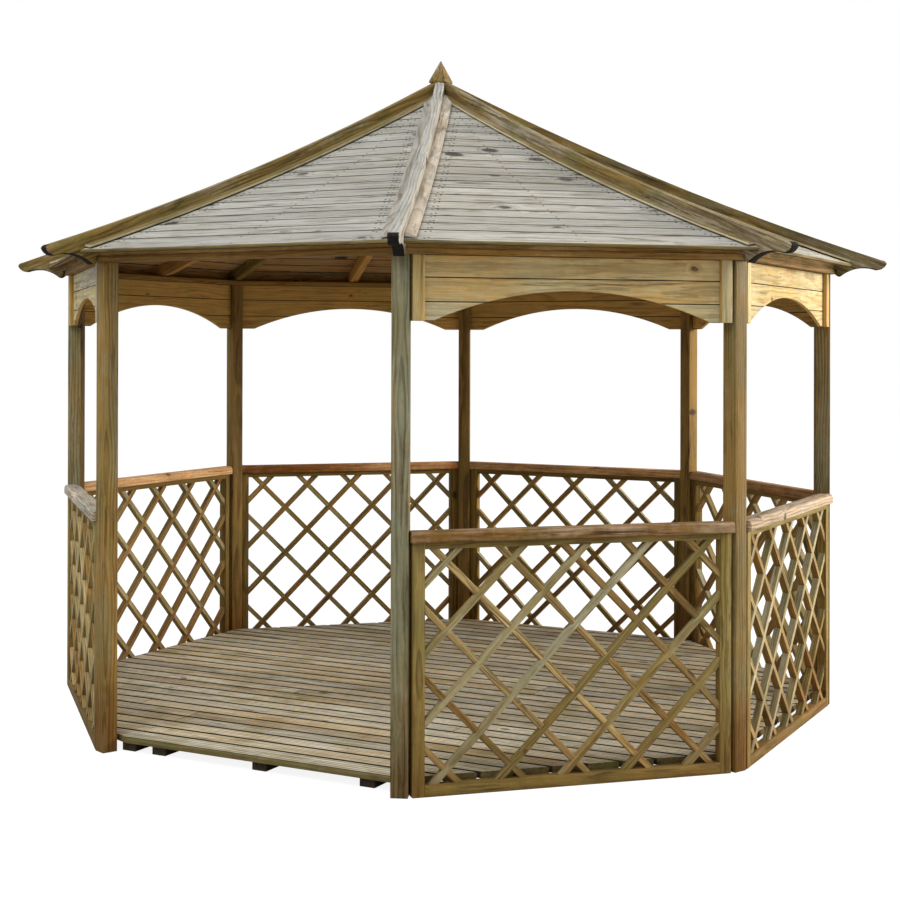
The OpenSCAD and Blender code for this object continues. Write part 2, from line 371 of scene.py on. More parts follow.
def makeFigure():                                    # growth rings, knots, fibres and drying checks
    group, given, result = openGroup(
        "softwoodFigure",
        (("Place", "Vector", None), ("Board", "Float", 0.5), ("Ring", "Float", 0.014),
         ("Knots", "Float", 0.2), ("Size", "Float", 1.0)),
        (("Late", "Float"), ("Streak", "Float"), ("Knot", "Float"), ("Halo", "Float"), ("Check", "Float"),
         ("Fleck", "Float"), ("Blotch", "Float"), ("Tone", "Float"), ("Age", "Float"),
         ("Height", "Float")))
    luck = put(group, "TexWhiteNoise", 1, {"noise_dimensions": "1D"},
               W=maths(group, "MULTIPLY", given["Board"], 97.0))
    parts = group.nodes.new("ShaderNodeSeparateColor")
    feed(group, parts.inputs[0], luck)
    place = vectorMaths(group, "ADD", given["Place"], vectorMaths(group, "SCALE", luck, 40.0))
    axis = group.nodes.new("ShaderNodeSeparateXYZ")
    feed(group, axis.inputs[0], given["Place"])

    cells = group.nodes.new("ShaderNodeTexVoronoi")
    feed(group, cells.inputs["Vector"], vectorMaths(group, "MULTIPLY", place, (5.5, 9.0, 3.5)))
    cells.inputs["Scale"].default_value = 1.0
    cell = group.nodes.new("ShaderNodeSeparateColor")
    feed(group, cell.inputs[0], cells.outputs["Color"])
    absent = maths(group, "GREATER_THAN", cell.outputs[0], given["Knots"])
    wobble = maths(group, "MULTIPLY", noise(group, place, (50, 70, 40), 2), 0.07)
    away = maths(group, "ADD", maths(group, "ADD", cells.outputs["Distance"], wobble), absent)
    size = ramp(group, cell.outputs[1], 0, 1, 0.09, 0.17, False)
    near = maths(group, "DIVIDE", away, maths(group, "MULTIPLY", size, given["Size"]))
    knot = ramp(group, near, 0.8, 1.15, 1, 0)
    rim = maths(group, "MULTIPLY", ramp(group, near, 0.75, 1.0), ramp(group, near, 1.0, 1.35, 1, 0))
    halo = ramp(group, near, 0.9, 2.3, 1, 0)

    slow = noise(group, place, (1.5, 5.0, 5.0), 2)
    y = maths(group, "SUBTRACT", axis.outputs[1], ramp(group, parts.outputs[0], 0, 1, -0.05, 0.05, False))
    z = maths(group, "ADD", axis.outputs[2], ramp(group, parts.outputs[1], 0, 1, 0.015, 0.10, False))
    reach = maths(group, "ADD", maths(group, "MULTIPLY", y, y), maths(group, "MULTIPLY", z, z))
    reach = maths(group, "SQRT", reach)
    reach = maths(group, "MULTIPLY_ADD", slow, 0.055, reach)
    reach = maths(group, "MULTIPLY_ADD", halo, 0.018, reach)
    phase = maths(group, "FRACT", maths(group, "DIVIDE", reach, given["Ring"]))
    late = maths(group, "MULTIPLY", ramp(group, phase, 0.3, 0.88), ramp(group, phase, 0.9, 1.0, 1, 0))
    late = maths(group, "MULTIPLY", late,
                 ramp(group, noise(group, place, (2.5, 30, 30), 2), 0.3, 0.65, 0.35, 1))

    streak = ramp(group, noise(group, place, (2.2, 62, 62), 6, 0.72), 0.36, 0.64)
    fleck = maths(group, "MULTIPLY", ramp(group, noise(group, place, (6, 64, 64), 3, 0.6), 0.55, 0.63),
                  ramp(group, noise(group, place, (2, 12, 12), 2), 0.4, 0.62, 0.15, 1))
    fibre = noise(group, place, (14, 330, 330), 2)
    line = maths(group, "SUBTRACT", noise(group, place, (0.8, 34, 34), 3, 0.6), 0.5)
    line = maths(group, "ABSOLUTE", line)
    where = ramp(group, noise(group, place, (1.6, 9, 9), 2), 0.57, 0.66)
    split = maths(group, "ABSOLUTE", maths(group, "SUBTRACT", noise(group, place, (24, 90, 60), 2), 0.5))
    long = maths(group, "MULTIPLY", ramp(group, line, 0.006, 0.026, 1, 0), where)
    inKnot = maths(group, "MULTIPLY", ramp(group, split, 0.015, 0.05, 1, 0),
                   ramp(group, near, 0.9, 1.5, 1, 0))
    check = maths(group, "MAXIMUM", long, inKnot)
    blotch = noise(group, place, (1.3, 9, 9), 4, 0.6)

    height = maths(group, "MULTIPLY", late, 0.35)
    height = maths(group, "MULTIPLY_ADD", streak, 0.6, height)
    height = maths(group, "MULTIPLY_ADD", fibre, 0.3, height)
    height = maths(group, "MULTIPLY_ADD", fleck, -0.6, height)
    height = maths(group, "MULTIPLY_ADD", check, -1.8, height)
    knot = maths(group, "MAXIMUM", knot, rim)
    values = (late, streak, knot, halo, check, fleck, blotch, parts.outputs[2], parts.outputs[0], height)
    for socket, value in zip(result, values):
        feed(group, socket, value)
    return group


# the hips' top edge, from the middle out; what lies this far below it is under the roof
shelterSet = dict(apex=3.121, slope=0.4307, sag=0.046, edge=2.057, below=0.083)


def makeExposure():                                  # rain reaches faces that look up or outward
    group, given, result = openGroup(
        "weatherExposure", (("Sides", "Float", 0.2), ("Tops", "Float", 1.0)),
        (("Open", "Float"), ("Patch", "Float"), ("Algae", "Float"), ("Splash", "Float")))
    here = put(group, "TexCoord", 3)
    facing = put(group, "NewGeometry", 1)
    flat = vectorMaths(group, "NORMALIZE", vectorMaths(group, "MULTIPLY", here, (1, 1, 0)))
    outward = vectorMaths(group, "DOT_PRODUCT", flat, facing, outlet=1)
    up = group.nodes.new("ShaderNodeSeparateXYZ")
    feed(group, up.inputs[0], facing)
    spot = group.nodes.new("ShaderNodeSeparateXYZ")
    feed(group, spot.inputs[0], here)
    ring = vectorMaths(group, "LENGTH", vectorMaths(group, "MULTIPLY", here, (1, 1, 0)), outlet=1)
    top = maths(group, "MULTIPLY", ramp(group, up.outputs[2], 0.25, 0.8), given["Tops"])
    s = shelterSet
    share = maths(group, "DIVIDE", ring, s["edge"])
    dip = maths(group, "MULTIPLY", share, maths(group, "SUBTRACT", 1.0, share))
    dip = maths(group, "MULTIPLY", dip, 4 * s["sag"])
    line = maths(group, "MULTIPLY_ADD", ring, -s["slope"], s["apex"] - s["below"])
    line = maths(group, "SUBTRACT", line, dip)
    under = ramp(group, maths(group, "SUBTRACT", line, spot.outputs[2]), -0.01, 0.01)
    sheltered = maths(group, "MULTIPLY", ramp(group, ring, 1.5, 1.72, 1, 0),
                      ramp(group, spot.outputs[2], 0.2, 0.4))
    sheltered = maths(group, "MULTIPLY", sheltered, under)
    sheltered = maths(group, "MULTIPLY", sheltered, ramp(group, up.outputs[2], 0.25, 0.6, 1, 0))
    side = ramp(group, outward, given["Sides"], maths(group, "ADD", given["Sides"], 0.5))
    open1 = maths(group, "MAXIMUM", side, top)
    open1 = maths(group, "MULTIPLY", open1, maths(group, "SUBTRACT", 1.0, sheltered))
    open1 = maths(group, "MULTIPLY", open1, ramp(group, up.outputs[2], -0.8, -0.3))
    patch = maths(group, "MULTIPLY_ADD", noise(group, here, (21, 21, 21), 4, 0.65), 0.4,
                  maths(group, "MULTIPLY", noise(group, here, (2.6, 2.6, 2.1), 3), 0.6))
    algae = noise(group, vectorMaths(group, "ADD", here, (7.3, 1.9, 4.4)), (4.1, 4.1, 2.1), 5, 0.65)
    algae = ramp(group, algae, 0.47, 0.64)
    low = maths(group, "MULTIPLY_ADD", patch, 0.5, spot.outputs[2])
    splash = ramp(group, low, 0.3, 0.75, 1, 0)
    for key, value in (("Open", open1), ("Patch", patch), ("Algae", algae), ("Splash", splash)):
        feed(group, result[key], value)
    return group


figure = makeFigure()
exposure = makeExposure()


def timber(name, fresh, worn, stain, knot=(58, 38, 22), crack=(34, 24, 16), algae=(98, 96, 46),
           silver=(196, 192, 180), ring=0.014, knots=0.16, knotSize=1.0, halo=0.25, late=0.5, streak=0.6,
           flecks=0.65, checks=0.8, tone=0.25, ages=0.0, wear=0.6, stained=0.5, green=0.3, splash=0.5,
           sides=0.15, tops=1.0, rough=0.74, relief=0.5):
    finish = bpy.data.materials.new(name)
    finish.use_nodes = True
    tree = finish.node_tree
    shader = tree.nodes["Principled BSDF"]
    group = tree.nodes.new("ShaderNodeGroup")
    group.node_tree = figure
    feed(tree, group.inputs["Place"], put(tree, "Attribute", 1, {"attribute_name": "grain"}))
    feed(tree, group.inputs["Board"], put(tree, "Attribute", 2, {"attribute_name": "board"}))
    group.inputs["Ring"].default_value = ring
    group.inputs["Knots"].default_value = knots
    group.inputs["Size"].default_value = knotSize
    part = group.outputs
    film = tree.nodes.new("ShaderNodeGroup")
    film.node_tree = exposure
    film.inputs["Sides"].default_value = sides
    film.inputs["Tops"].default_value = tops
    age = put(tree, "Attribute", 2, {"attribute_name": "worn"})

    # brown timber, greyed where it is exposed, darker where it is stained
    amount = maths(tree, "ADD", age, wear)
    for spread, strength in ((part["Age"], ages), (part["Blotch"], 2.2), (film.outputs["Patch"], 2.0)):
        amount = maths(tree, "MULTIPLY_ADD", maths(tree, "SUBTRACT", spread, 0.5), strength, amount)
    grey = ramp(tree, amount, 1.1, 1.9, 0, 0.9)
    brown = maths(tree, "ADD", amount, 0.0, clamp=True)
    colour = blend(tree, maths(tree, "MULTIPLY", brown, film.outputs["Open"]), tint(*fresh), tint(*worn))
    colour = blend(tree, maths(tree, "MULTIPLY", grey, film.outputs["Open"]), colour, tint(*silver))
    dirty = maths(tree, "MULTIPLY_ADD", part["Streak"], 0.5, maths(tree, "MULTIPLY", part["Blotch"], 0.5))
    dirty = maths(tree, "MULTIPLY", ramp(tree, dirty, 0.5, 0.62), stained)
    colour = blend(tree, dirty, colour, tint(*stain))
    colour = blend(tree, maths(tree, "MULTIPLY", film.outputs["Algae"], green), colour, tint(*algae))
    dark = blend(tree, 1.0, colour, (0.40, 0.33, 0.24, 1), "MULTIPLY")
    colour = blend(tree, maths(tree, "MULTIPLY", part["Late"], late), colour, dark)
    colour = blend(tree, maths(tree, "MULTIPLY", film.outputs["Splash"], splash), colour,
                   blend(tree, 1.0, colour, (0.66, 0.48, 0.26, 1), "MULTIPLY"))
    colour = blend(tree, maths(tree, "MULTIPLY", part["Halo"], halo), colour, dark)
    light = maths(tree, "MULTIPLY_ADD", maths(tree, "SUBTRACT", part["Streak"], 0.5), streak,
                  ramp(tree, part["Tone"], 0, 1, 1 - tone / 2, 1 + tone / 2, False))
    colour = put(tree, "HueSaturation", Color=colour, Value=light)
    colour = blend(tree, maths(tree, "MULTIPLY", part["Fleck"], flecks), colour,
                   blend(tree, 1.0, colour, (0.34, 0.29, 0.23, 1), "MULTIPLY"))
    colour = blend(tree, maths(tree, "MULTIPLY", part["Knot"], 0.92), colour, tint(*knot))
    colour = blend(tree, maths(tree, "MULTIPLY", part["Check"], checks), colour, tint(*crack))
    feed(tree, shader.inputs["Base Color"], colour)
    feed(tree, shader.inputs["Roughness"],
         maths(tree, "MULTIPLY_ADD", part["Streak"], 0.3, rough - 0.15, clamp=True))
    shader.inputs["Specular IOR Level"].default_value = 0.25
    bump = tree.nodes.new("ShaderNodeBump")
    bump.inputs["Strength"].default_value = relief
    bump.inputs["Distance"].default_value = 0.0016
    feed(tree, bump.inputs["Height"], part["Height"])
    feed(tree, shader.inputs["Normal"], bump.outputs[0])
    return finish


def makeSteel():                                     # dull nail heads, rusted in patches
    finish = bpy.data.materials.new("nailSteel")
    finish.use_nodes = True
    tree = finish.node_tree
    shader = tree.nodes["Principled BSDF"]
    rust = noise(tree, put(tree, "TexCoord", 3), (160, 160, 160), 3)
    colour = blend(tree, ramp(tree, rust, 0.4, 0.6), tint(70, 66, 60), tint(74, 46, 28))
    feed(tree, shader.inputs["Base Color"], colour)
    feed(tree, shader.inputs["Metallic"], ramp(tree, rust, 0.4, 0.6, 0.6, 0.1))
    feed(tree, shader.inputs["Roughness"], ramp(tree, rust, 0.3, 0.7, 0.45, 0.85))
    return finish


finishes = {
    "post": timber("postTimber", (156, 122, 62), (160, 160, 132), (108, 94, 50), green=0.35, wear=0.3,
                   splash=0.95, late=0.85, sides=-0.55),
    "frame": timber("panelFrameTimber", (146, 117, 54), (166, 147, 86), (82, 64, 26), wear=0.2,
                    splash=0.6, late=0.8, ages=0.8, tone=0.3, tops=0.4),
    "slatFront": timber("greySlatTimber", (158, 134, 74), (206, 198, 162), (104, 88, 42),
                        silver=(200, 184, 144), ring=0.010, wear=0.5, knots=0.12, late=0.8, ages=2.0,
                        tone=0.4, sides=-1.2, tops=0.35, green=0.45, algae=(120, 118, 62)),
    "slatBack": timber("brownSlatTimber", (160, 122, 62), (206, 182, 126), (94, 70, 32),
                       silver=(206, 186, 140), ring=0.010, wear=0.2, knots=0.12, late=0.85, ages=1.6,
                       tone=0.4, sides=-1.2, tops=0.35, green=0.4),
    "rail": timber("railTimber", (140, 101, 44), (234, 210, 180), (100, 70, 30), knot=(50, 30, 16),
                   green=0.25, knots=0.34, wear=0.0, splash=0, late=0.85),
    "railInner": timber("orangeRailTimber", (146, 90, 34), (252, 204, 146), (110, 70, 30),
                        knot=(60, 36, 20), silver=(250, 212, 166), green=0.1, knots=0.34, wear=0.0,
                        splash=0, late=0.6, sides=-1.5),
    "valance": timber("valanceTimber", (218, 172, 92), (228, 212, 162), (146, 122, 76),
                      knot=(84, 56, 36), algae=(166, 156, 88), knots=0.42, knotSize=0.85, wear=0.55,
                      splash=0, late=0.55, checks=0.6, halo=0.2, ages=0.9, tone=0.2, streak=0.5,
                      flecks=0.5),
    "hip": timber("hipTimber", (148, 120, 60), (216, 208, 188), (82, 66, 32), green=0.55,
                  algae=(104, 100, 44), stained=0.75, knots=0.3, knotSize=1.5, wear=0.05, splash=0,
                  late=0.9, flecks=0.8, sides=-0.55),
    "hipGrey": timber("greyHipTimber", (150, 134, 98), (198, 194, 184), (132, 126, 112),
                      silver=(196, 194, 190), green=0.15, knots=0.3, knotSize=1.5, wear=0.9,
                      stained=0.5, splash=0, late=0.7, flecks=0.5, sides=-0.55),
    # near-black end grain of the hip tails, and painted shade on the tails' undersides
    "hipEndAndShade": timber("hipEndGrainAndShade", (26, 20, 16), (28, 22, 18), (18, 14, 12), green=0, splash=0,
                     rough=0.9),
    "roof": timber("roofTimber", (190, 140, 72), (190, 186, 176), (138, 132, 120), knot=(40, 36, 32),
                   crack=(42, 38, 34), algae=(154, 152, 126), silver=(198, 193, 183), ring=0.012,
                   knots=0.36, wear=1.3, stained=0.6, green=0.25, splash=0, late=0.65, tone=0.3,
                   halo=0.3, knotSize=1.45, checks=1.0, rough=0.82),
    # near-black joint faces between boards: painted shade in the grooves and gaps, with their dirt
    "roofJointShade": timber("roofJointShadeTimber", (36, 30, 24), (42, 38, 33), (26, 22, 18), green=0,
                        splash=0),
    "eave": timber("eaveTimber", (124, 102, 50), (150, 138, 94), (64, 50, 24), green=0.4, splash=0,
                   wear=0.2, flecks=0.8),
    "strip": timber("stripTimber", (128, 110, 62), (226, 212, 192), (140, 124, 98),
                    silver=(172, 168, 162), knots=0.3, splash=0, wear=0.5, green=0.2, late=0.7,
                    sides=-0.55, rough=0.8),
    # pale upright edges of the cover strips: a painted highlight
    "stripEdgeHighlight": timber("stripEdgeHighlightTimber", (214, 200, 160), (232, 222, 200), (150, 138, 108), splash=0,
                        sides=-1.5),
    "plate": timber("plateTimber", (156, 117, 54), (214, 184, 124), (98, 70, 32), wear=0.1, splash=0,
                    late=0.7),
    "rafter": timber("rafterTimber", (206, 154, 78), (150, 120, 70), (126, 90, 44), wear=0.1, splash=0,
                     late=0.7),
    "deck": timber("deckTimber", (214, 184, 134), (246, 242, 218), (174, 140, 94), knot=(76, 58, 44),
                   algae=(178, 164, 108), knots=0.22, wear=0.8, stained=0.55, green=0.5, splash=0,
                   late=0.55, tone=0.5, ages=1.0, streak=0.75, flecks=0.8, rough=0.8),
    # near-black board sides and arrises: painted shade in the gaps between deck boards, with dirt
    "deckJointShade": timber("deckJointShadeTimber", (54, 43, 26), (58, 46, 30), (40, 31, 19), green=0.2,
                        splash=0),
    # darker groove walls: painted shade in the grooves, with their dirt
    "deckGrooveShade": timber("deckGrooveShadeTimber", (128, 110, 78), (146, 136, 112), (110, 92, 66), splash=0,
                         wear=0.6),
    "joist": timber("joistTimber", (58, 47, 34), (68, 57, 44), (40, 31, 22), green=0.1, splash=0),
}
steel = makeSteel()
print("finishes made")


postSet = dict(arris=0.003, arrisSteps=3, shift=0.137)
post = block("post", (-postHalf, -postRing - postHalf, postLow.z),
             (postHalf, postHalf - postRing, postHigh.z))
ease(post, postSet["arris"], postSet["arrisSteps"])
giveGrain(post, (0, 0, 1), (1, 0, 0))
finishOn(post, finishes["post"])
postWorn = (-0.15, 0.6, 0, 0.3, -0.3, -0.3, -0.2, 0.3)
for i in range(8):
    place = Matrix.Rotation(i * eighth - halfTurn, 4, "Z")
    mate = twin(post, f"gardenPost_{i + 1}", place, i * postSet["shift"], postWorn[i])
    seat(mate, "post_timber", f"post_{i + 1}")
discard(post)
print("posts made")


panelSet = dict(stile=0.050, bottom=0.047, top=0.026, slat=0.026, slatDepth=0.030, pitch=0.274,
                slatLong=3.2, firstCrossing=0.098, lap=0.0005, tenon=0.002, arris=0.0016, shift=0.217)


def makePanel():
    s = panelSet
    half, top = panelHigh.x, panelHigh.z
    outer, inner = -panelHigh.y, -panelLow.y
    open1, open2 = -half + s["stile"], half - s["stile"]
    members = []
    for low, high, up in (((-half, outer, 0), (open1, inner, top), True),
                          ((open2, outer, 0), (half, inner, top), True),
                          ((open1, outer, 0), (open2, inner, s["bottom"]), False),
                          ((open1, outer, top - s["top"]), (open2, inner, top), False)):
        member = ease(block("member", low, high), s["arris"])
        giveGrain(member, (0, 0, 1) if up else (1, 0, 0), (1, 0, 0) if up else (0, 0, 1))
        members.append(finishOn(member, finishes["frame"], finishes["slatFront"], finishes["slatBack"]))
    middle = (outer + inner) / 2
    length = s["slatLong"] / 2
    deep, high = s["slatDepth"] / 2, s["slat"] / 2
    slat = block("slat", (-length, -deep, -high), (length, deep, high))
    easeAlongX(slat, s["arris"])
    finishOn(slat, finishes["frame"], finishes["slatFront"], finishes["slatBack"])
    giveGrain(slat, (1, 0, 0), (0, 0, 1))
    slats = []
    reach = math.ceil((half + top) / s["pitch"])
    for lean, slot in ((-1, 1), (1, 2)):
        for k in range(-reach, reach + 1):
            height = s["firstCrossing"] + s["pitch"] * k
            if not -half < height < top + half:
                continue
            # the slats that rise to the right run through on the outer face, the others on the inner one
            shift = Matrix.Translation((0, middle + (s["lap"] if slot == 2 else -s["lap"]) / 2, height))
            mate = twin(slat, "slat", shift @ Matrix.Rotation(lean * math.pi / 4, 4, "Y"), chance.rand())
            paintFaces(mate, lambda face: True, slot)
            slats.append(mate)
    discard(slat)
    grid = joined("slats", slats)
    t = s["tenon"]
    trim(grid, (((open1 - t, 0, 0), (-1, 0, 0)), ((open2 + t, 0, 0), (1, 0, 0)),
                ((0, 0, s["bottom"] - t), (0, 0, -1)), ((0, 0, top - s["top"] + t), (0, 0, 1))))
    return joined("panel", members + [grid])


bayWorn = (0, 0.3, 0.3, 0, -0.1, 0.1, 0.6, 0.6)   # the two side bays have bleached most
valanceWorn = (0, 0.1, 0.3, 0, -0.3, -0.3, -0.2, 0.9)
railWorn = (0, 0.15, 1.1, 0.5, 0.65, 0.05, 0.95, 1.7)
panel = makePanel()
for bay in range(1, 8):
    mate = twin(panel, f"latticePanel_{bay}", bayMatrix(bay), bay * panelSet["shift"], bayWorn[bay])
    seat(mate, "lattice_timber", f"lattice_panel_{bay}")
discard(panel)
print("lattice panels made")


railSet = dict(arris=0.0025, orange=(3, 4, 5, 6))    # the bays whose rail keeps its new colour
for bay in range(1, 8):
    rail = fromCad(f"handRail_{bay}", f"handrail_{bay}", railSet["arris"], worn=railWorn[bay])
    finishOn(rail, finishes["railInner" if bay in railSet["orange"] else "rail"])
    seat(rail, "rail_timber", f"handrail_{bay}")
print("handrails made")


valanceSet = dict(boardThick=0.016, stile=0.050, joints=(1.940, 2.036), arris=0.0022,
                  shoulder=0.037, rise=0.124, archSides=320, nearEdge=0.004, shift=0.191)


def makeValance():
    s = valanceSet
    half, foot, top = valanceHigh.x, valanceLow.z, valanceHigh.z
    back = -valanceLow.y
    front = back - s["boardThick"]
    outer = -valanceHigh.y
    archFoot = half - s["stile"] - s["shoulder"]
    archRing = (archFoot ** 2 + s["rise"] ** 2) / (2 * s["rise"])
    pickNone()
    bpy.ops.mesh.primitive_cylinder_add(vertices=s["archSides"], radius=archRing, depth=0.1,
                                        location=(0, (front + back) / 2, foot + s["rise"] - archRing),
                                        rotation=(math.pi / 2, 0, 0))
    cutter = settle(bpy.context.object)
    levels = (foot,) + s["joints"] + (top,)
    pieces = []
    for low, high in zip(levels[:-1], levels[1:]):
        board = easeAlongX(block("board", (-half, front, low), (half, back, high)), s["arris"])
        finishOn(board, finishes["valance"], finishes["roofJointShade"])
        # the faces between boards are painted near-black: painted shade in the joints, with dirt
        paintFaces(board, lambda face: abs(face.normal.z) > 0.5, 1)
        if low < foot + s["rise"]:
            pick(board)
            arch = board.modifiers.new("arch", "BOOLEAN")
            arch.operation, arch.object, arch.solver = "DIFFERENCE", cutter, "EXACT"
            bpy.ops.object.modifier_apply(modifier="arch")
            paintFaces(board, lambda face: abs(face.normal.z) > 0.5
                       and low + s["nearEdge"] < face.center.z < high - s["nearEdge"], 0)
        giveGrain(board, (1, 0, 0), (0, 0, 1), (0, (front + back) / 2, (low + high) / 2))
        pieces.append(board)
    discard(cutter)
    for side in (-1, 1):
        edges = sorted((side * half, side * (half - s["stile"])))
        stile = ease(block("stile", (edges[0], outer, foot), (edges[1], front, top)), s["arris"])
        giveGrain(stile, (0, 0, 1), (1, 0, 0))
        pieces.append(finishOn(stile, finishes["valance"], finishes["roofJointShade"]))
    return joined("valance", pieces)


valance = makeValance()
for bay in range(1, 8):
    mate = twin(valance, f"archedValance_{bay}", bayMatrix(bay), bay * valanceSet["shift"],
                valanceWorn[bay])
    seat(mate, "valance_timber", f"arched_valance_{bay}")
discard(valance)
print("valances made")


roofSet = dict(eaveBoard=0.146, cover=0.0985, chamfer=0.0044, steps=400, least=0.030, stripWide=0.046,
               nailRadius=0.0044, nailHigh=0.0012, nailInset=0.4, nailRise=0.3, nailAcross=0.3,
               nailBeside=0.030, nailApart=0.022, nailStep=0.008, nailStray=0.004, shift=0.331)
curve = {}
for x, y, z in spotsOf(nodes["roof_panel_1"]):
    key = round(float(-y), 4)
    curve[key] = max(curve.get(key, 0), float(z))
curveOut = sorted(curve)                             # from the peak to the eave
curveHigh = [curve[key] for key in curveOut]
boardThick = curveHigh[-1] - roofLow.z
hipHalf = 0.0233                                     # half a hip and the play beside it


def roofAt(out):
    return float(np.interp(out, curveOut, curveHigh))


def clearHalf(out):                                  # half the width between two hips
    return out * math.tan(halfTurn) - hipHalf / math.cos(halfTurn)


def trimToHips(piece, clear=0.0):
    away = -(hipHalf + clear) / math.cos(halfTurn)
    trim(piece, [((side * away, 0, 0), (side * math.cos(halfTurn), math.sin(halfTurn), 0))
                 for side in (-1, 1)])


def makeNail(radius, high):
    pickNone()
    bpy.ops.mesh.primitive_cylinder_add(vertices=8, radius=radius, depth=high)
    nail = settle(bpy.context.object)
    openEdit(nail, "DESELECT")
    bpy.ops.mesh.select_mode(type="FACE")
    closeEdit()
    for face in nail.data.polygons:
        face.select = face.normal.z > 0.9
    bpy.ops.object.mode_set(mode="EDIT")
    bpy.ops.mesh.inset(thickness=radius * roofSet["nailInset"])
    bpy.ops.transform.translate(value=(0, 0, high * roofSet["nailRise"]))
    closeEdit()
    return nail


def makeRoofBay():
    s = roofSet
    wide = s["cover"]
    board = block("board", (-1, -wide / 2, -boardThick), (1, wide / 2, 0))
    easeAlongX(board, s["chamfer"])
    finishOn(board, finishes["roof"], finishes["roofJointShade"], finishes["eave"], steel)
    # the chamfers and sides at each joint are painted near-black: painted shade in the V-groove, with
    # dirt
    paintFaces(board, lambda face: abs(face.normal.y) > 0.5, 1)
    giveGrain(board)
    nail = makeNail(s["nailRadius"], s["nailHigh"])
    giveGrain(nail)
    finishOn(nail, finishes["roof"], finishes["roofJointShade"], finishes["eave"], steel)
    paintFaces(nail, lambda face: True, 3)
    fine = np.linspace(curveOut[-1], curveOut[0], s["steps"])
    run = [0.0]                                      # the way along the slope from the eave
    for a, b in zip(fine[:-1], fine[1:]):
        run.append(run[-1] + math.hypot(b - a, roofAt(b) - roofAt(a)))
    marks = [0, s["eaveBoard"]]
    while marks[-1] + s["cover"] < run[-1] - s["least"]:
        marks.append(marks[-1] + s["cover"])
    marks.append(run[-1])
    boards, nails = [], []
    for k in range(len(marks) - 1):
        outer, inner = (float(np.interp(mark, run, fine)) for mark in marks[k:k + 2])
        low, high = roofAt(outer), roofAt(inner)
        slope = math.atan2(high - low, outer - inner)
        span = math.hypot(outer - inner, high - low)
        place = (Matrix.Translation((0, -(outer + inner) / 2, (low + high) / 2))
                 @ Matrix.Rotation(slope, 4, "X"))
        mate = twin(board, "board", place @ Matrix.Diagonal((1, span / wide, 1, 1)), chance.rand())
        if k == 0:
            paintFaces(mate, lambda face: face.normal.y < -0.5, 2)
        boards.append(mate)
        for side in (-1, 0, 1):
            for across in (-s["nailAcross"], s["nailAcross"]):
                for step in (0, 1):
                    if side == 0 and step:
                        continue
                    y = across * span
                    out = (outer + inner) / 2 - y * math.cos(slope)
                    x = side * (clearHalf(out) - s["stripWide"] / math.cos(halfTurn) - s["nailBeside"]
                                - step * s["nailApart"]) + chance.uniform(-s["nailStray"], s["nailStray"])
                    if side and x * side < s["nailBeside"]:
                        continue
                    spot = Matrix.Translation((x, y + step * s["nailStep"],
                                               s["nailHigh"] * s["nailRise"]))
                    nails.append(twin(nail, "nail", place @ spot, 0))
    discard(board)
    discard(nail)
    deck = joined("boards", boards)
    trimToHips(deck)
    return joined("roofBay", [deck] + nails)


roofBay = makeRoofBay()
for bay in range(8):
    mate = twin(roofBay, f"roofBoards_{bay + 1}", bayMatrix(bay), bay * roofSet["shift"])
    seat(mate, "roof_boards", f"roof_panel_{bay + 1}")
discard(roofBay)
print("roof boards made")


hipSet = dict(arris=0.003, tail=0.06, worn=(0, 0.5, 0.2, -0.05, 0, 0, 0, -0.1))
stripSet = dict(thick=0.018, gap=0.0065, palest=-67.5, near=15, bleached=(1.9, 0.8), brown=(-0.9, -0.4))


def stripWorn(spot):                                 # the strips beside the second hip are bleached
    s = stripSet
    away = math.degrees(math.atan2(spot[1], spot[0])) - s["palest"]
    return s["bleached"][away > 0] if abs(away) < s["near"] else chance.uniform(*s["brown"])


def liftStrips(piece):                               # leaves a dark gap between the strips and the boards
    spots = spotsOf(piece)
    ways = np.array([wayAt(i * eighth) for i in range(8)])
    boards = np.interp((spots @ ways.T).max(1), curveOut, curveHigh)
    spots[spots[:, 2] < boards + stripSet["thick"] / 2, 2] += stripSet["gap"]
    piece.data.vertices.foreach_set("co", spots.ravel())
    piece.data.update()


for i in range(8):
    node = f"hip_rafter_{i + 1}"
    hip = fromCad(f"hipRafter_{i + 1}", node, hipSet["arris"], worn=hipSet["worn"][i])
    finishOn(hip, finishes["hipGrey" if i == 1 else "hip"], finishes["hipEndAndShade"])
    way = Vector(wayAt(i * eighth - halfTurn))
    # the tail's outward end is dark end grain; its faces looking down are painted near-black as painted
    # shade
    paintFaces(hip, lambda face: face.center.dot(way) > postRing + hipSet["tail"]
               and (face.normal.dot(way) > 0.35 or face.normal.z < -0.3), 1)
    seat(hip, "hip_timber", node)


# the filler in bay 2 is made paler through its worn value: painted light on a face the eaves shade
fillerSet = dict(thick=0.012, outside=0.044, clear=0.0015, reach=0.9, arris=0.001, shift=0.123, worn=0.9)
wallLine = postRing * math.cos(halfTurn)
for name, node, finish, slot, arris in (
        ("coverStrips", "cover_strips", "strip", "roof_boards", 0.0016),
        ("wallPlates", "wall_plates", "plate", "frame_timber", 0.002),
        ("middleRafters", "middle_rafters", "rafter", "frame_timber", 0.002),
        ("kingPost", "king_post", "rafter", "hip_timber", 0.002),
        ("roofFinial", "finial", "hip", "hip_timber", 0.0025),
        ("deckJoists", "deck_joists", "joist", "frame_timber", 0.002)):
    piece = fromCad(name, node, arris, worn={"cover_strips": stripWorn, "finial": 0.2}.get(node))
    if node == "middle_rafters":                     # cut back behind the boards that close the eaves
        ways = [wayAt(i * eighth) for i in range(8)]
        trim(piece, [(scaled(way, wallLine + fillerSet["outside"] - hair), way) for way in ways])
    finishOn(piece, finishes[finish])
    if node == "cover_strips":                       # their upright edges are painted pale: a painted highlight where the light catches them
        finishOn(piece, finishes[finish], finishes["stripEdgeHighlight"])
        paintFaces(piece, lambda face: abs(face.normal.z) < 0.3, 1)
        liftStrips(piece)
    seat(piece, slot, node)
print("framing made")


